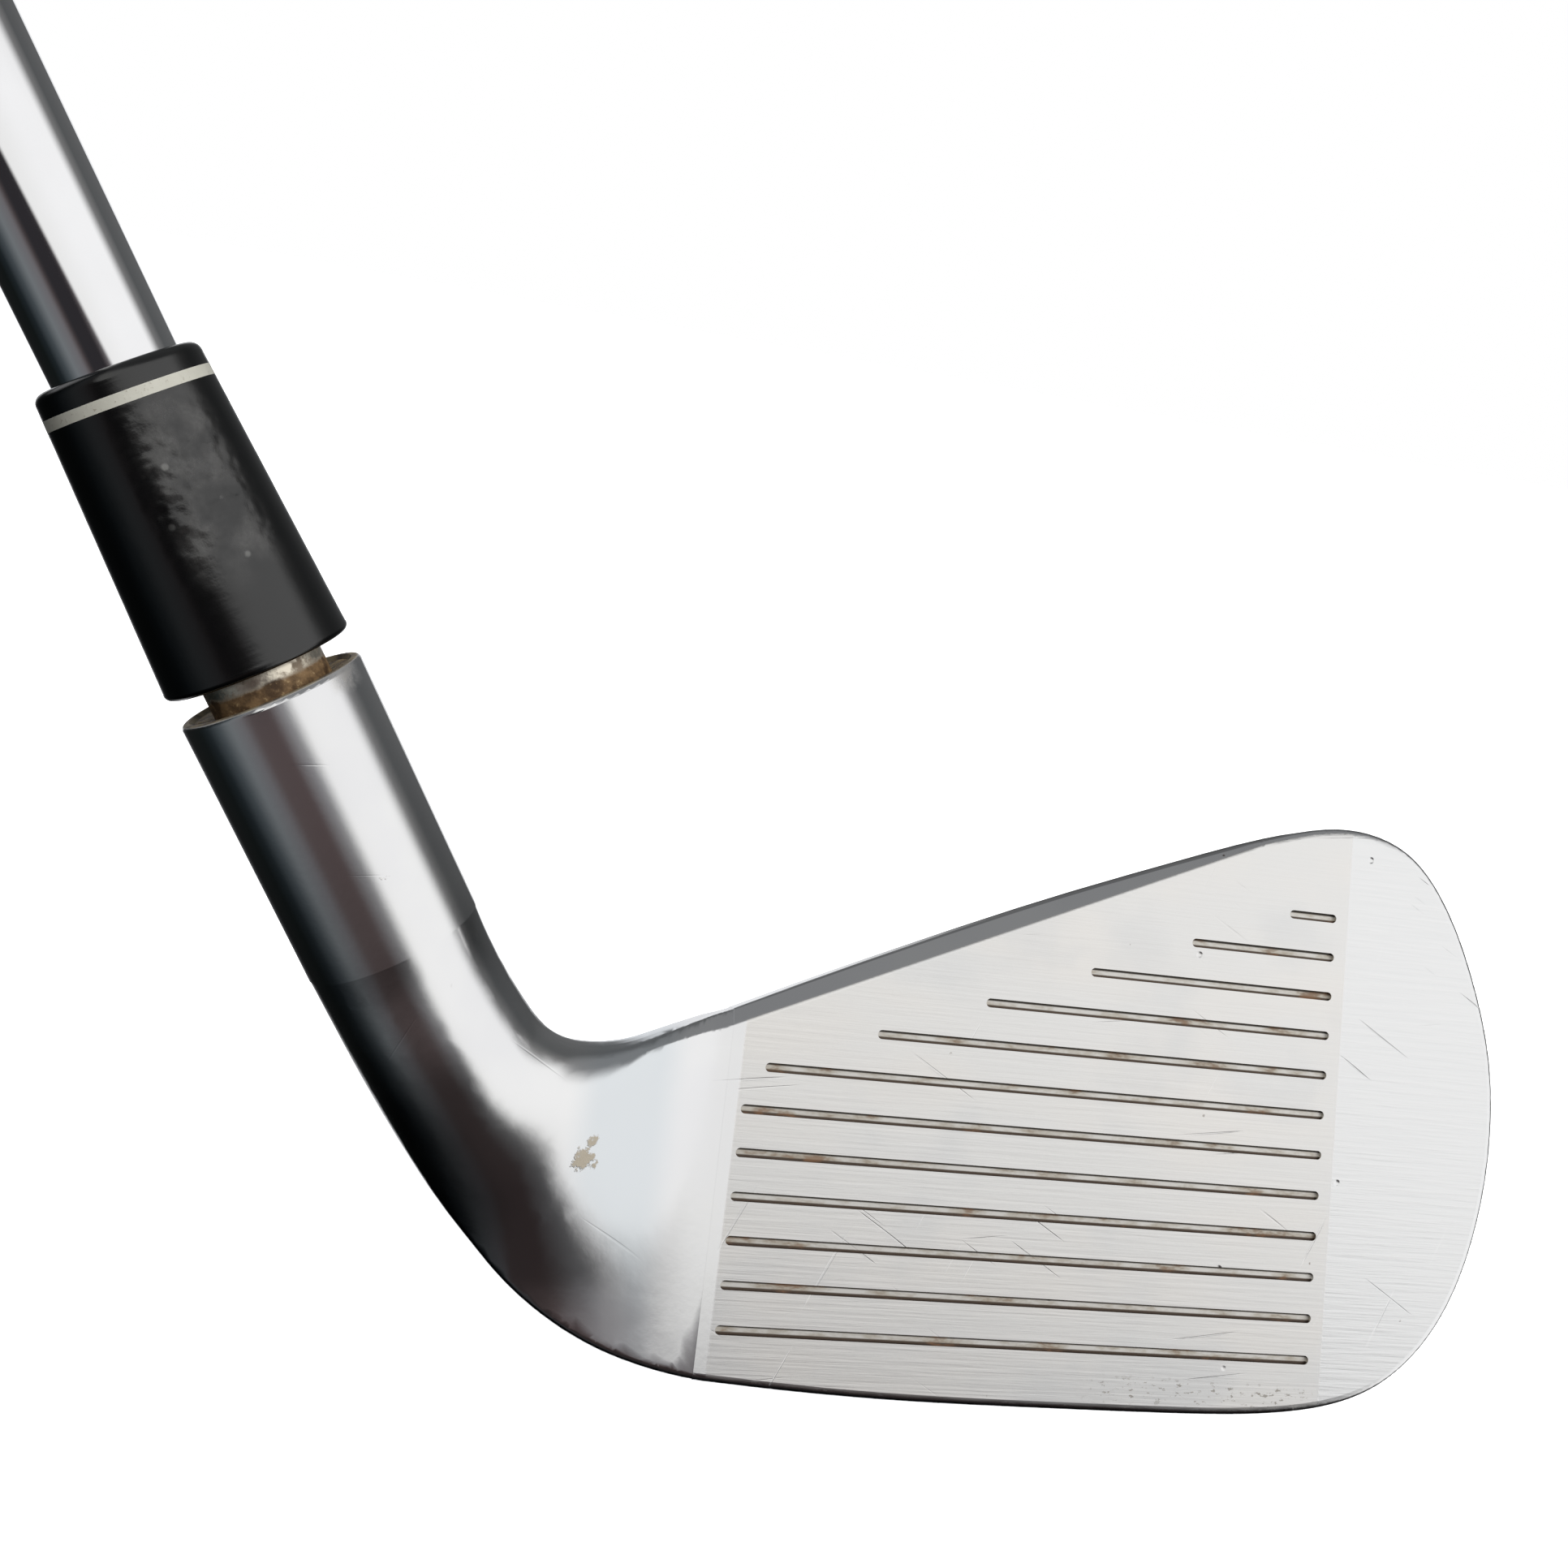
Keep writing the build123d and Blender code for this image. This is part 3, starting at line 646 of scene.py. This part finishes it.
# ---- studio surround: a dim room with a broad window; (degrees round the shaft's axis, colour) ----
ROOM = [
    (-180, (0.150, 0.155, 0.160)),
    (-163, (0.050, 0.052, 0.055)),
    (-146, (0.010, 0.011, 0.011)),
    (-114, (0.007, 0.009, 0.009)),
    (-98, (0.014, 0.019, 0.022)),
    (-82, (0.060, 0.072, 0.080)),
    (-65, (0.170, 0.185, 0.195)),
    (-49, (0.160, 0.155, 0.165)),
    (-38, (0.110, 0.086, 0.086)),
    (-14, (0.105, 0.078, 0.078)),
    (0, (0.250, 0.245, 0.255)),
    (8, (0.330, 0.330, 0.335)),
    (94, (0.190, 0.190, 0.190)),
    (108, (0.100, 0.104, 0.106)),
    (131, (0.115, 0.118, 0.120)),
    (163, (0.140, 0.142, 0.145)),
    (180, (0.150, 0.155, 0.160)),
]


def light_card(p, direction, point, reach, soft):
    """Mask of a soft round light card, reach degrees in radius, seen in a direction."""
    spread = p.dot(direction, Vector(point).normalized())
    edge, core = (math.cos(math.radians(reach + way * soft)) for way in (1, -1))
    return p.step(spread, edge, core)


def make_surround():
    world = bpy.data.worlds.new("studio")
    bpy.context.scene.world = world
    world.use_nodes = True
    p = Paint(world.node_tree)
    look = p.add("ShaderNodeTexCoord").outputs["Generated"]
    turn = p.math("ARCTAN2", p.dot(look, aside), p.dot(look, ahead))
    degrees = p.times(turn, 180 / math.pi)
    height = p.dot(look, Vector((0, 0, 1)))
    share = p.math("ADD", p.math("DIVIDE", degrees, 360), 0.5)
    color = p.ramp(share, [((a + 180) / 360, c) for a, c in ROOM])
    axial = p.dot(look, shaft_axis)
    # darker towards the club's foot and towards the ground
    steep = p.level(p.step(axial, -0.42, -0.12), 0.25, 1.0)
    dim = p.times(steep, p.level(p.step(height, -0.95, -0.62), 0.1, 1.0))
    # the brown wall, at -40 to -8 degrees, gives way to a dark corner towards the grip
    wall = p.times(p.between(degrees, -40.0, -8.0, 8.0), p.step(axial, -0.13, -0.09), 0.85)
    color = p.mix(wall, color, (0.014, 0.016, 0.020))
    dimmer = p.add("ShaderNodeVectorMath", operation="SCALE")
    p.feed(dimmer.inputs[0], color)
    p.feed(dimmer.inputs["Scale"], dim)
    ceiling = p.step(height, 0.70, 0.95)
    color = p.mix(ceiling, dimmer.outputs[0], (0.24, 0.245, 0.25))
    # the window, and its high part on the side that the flat face looks into
    pane = p.times(p.step(degrees, 3.0, 20.0), p.step(degrees, 94.0, 72.0))
    pane = p.times(pane, p.step(height, -0.75, -0.55))
    shelf = p.times(p.step(degrees, -42.0, -22.0), p.step(degrees, 60.0, 40.0))
    shelf = p.times(shelf, p.step(height, 0.10, 0.165))
    window = p.times(p.most(pane, shelf), p.step(height, 0.92, 0.62))
    glow = p.mix(p.step(degrees, -20, 40), (0.93, 0.93, 0.915), (1.02, 1.02, 1.02))
    color = p.mix(window, color, glow)
    # cards and a pale strip behind the club, for the sides that face away from the window
    behind = p.math("ABSOLUTE", degrees)
    back = p.most(
        light_card(p, look, (0.05, 0.72, -0.70), 20, 6),
        light_card(p, look, (-0.80, 0.35, 0.45), 16, 8),
        p.times(p.step(behind, 161.0, 168.0), p.step(height, -0.5, -0.3)),
    )
    color = p.mix(back, color, (0.85, 0.86, 0.88))
    room = p.add("ShaderNodeBackground")
    p.feed(room.inputs[0], color)
    backdrop = p.add("ShaderNodeBackground")
    backdrop.inputs[0].default_value = (1, 1, 1, 1)
    chooser = p.add("ShaderNodeMixShader")
    ray = p.add("ShaderNodeLightPath")
    p.feed(chooser.inputs[0], ray.outputs["Is Camera Ray"])
    p.feed(chooser.inputs[1], room.outputs[0])
    p.feed(chooser.inputs[2], backdrop.outputs[0])
    output = p.add("ShaderNodeOutputWorld")
    p.feed(output.inputs[0], chooser.outputs[0])


def area_light(name, place, target, size, power):
    """Soft light that only lights: mirrors don't show it."""
    data = bpy.data.lights.new(name, "AREA")
    data.size = size
    data.energy = power
    thing = bpy.data.objects.new(name, data)
    bpy.context.scene.collection.objects.link(thing)
    aim = (Vector(target) - Vector(place)).to_track_quat("-Z", "Y").to_matrix().to_4x4()
    thing.matrix_world = Matrix.Translation(Vector(place)) @ aim
    thing.visible_glossy = False
    thing.visible_camera = False


make_surround()
area_light("key", (0.7, -1.3, 1.3), (-0.1, 0, 0.15), 0.9, 19)
area_light("fill", (-1.1, -0.9, 0.9), (-0.1, 0, 0.2), 1.0, 1.0)
area_light("top", (-0.2, 0.6, 1.9), (-0.2, 0, 0.3), 1.4, 4)

bpy.context.scene.view_settings.view_transform = "Standard"
bpy.context.scene.view_settings.look = "None"

# ---- camera ----
CAMERA_AT = Vector((-49.43, -141.85, 85.91)) * MM
CAMERA_UP = Vector((-0.13563, 0.20255, 0.96983))
LENS = 41.84
SENSOR = 36.0
SHIFT = (-0.1211, -0.060)
NEAREST = 0.01
FARTHEST = 100.0
forward = Vector((0.2400, 0.95643, -0.16619)).normalized()
right = forward.cross(CAMERA_UP).normalized()
upward = right.cross(forward).normalized()
camera_data = bpy.data.cameras.new("camera")
camera = bpy.data.objects.new("camera", camera_data)
bpy.context.scene.collection.objects.link(camera)
camera_turn = Matrix((right, upward, -forward)).transposed().to_4x4()
camera.matrix_world = Matrix.Translation(CAMERA_AT) @ camera_turn
camera_data.sensor_width = SENSOR
camera_data.lens = LENS
camera_data.shift_x, camera_data.shift_y = SHIFT
camera_data.clip_start = NEAREST
camera_data.clip_end = FARTHEST
bpy.context.scene.camera = camera
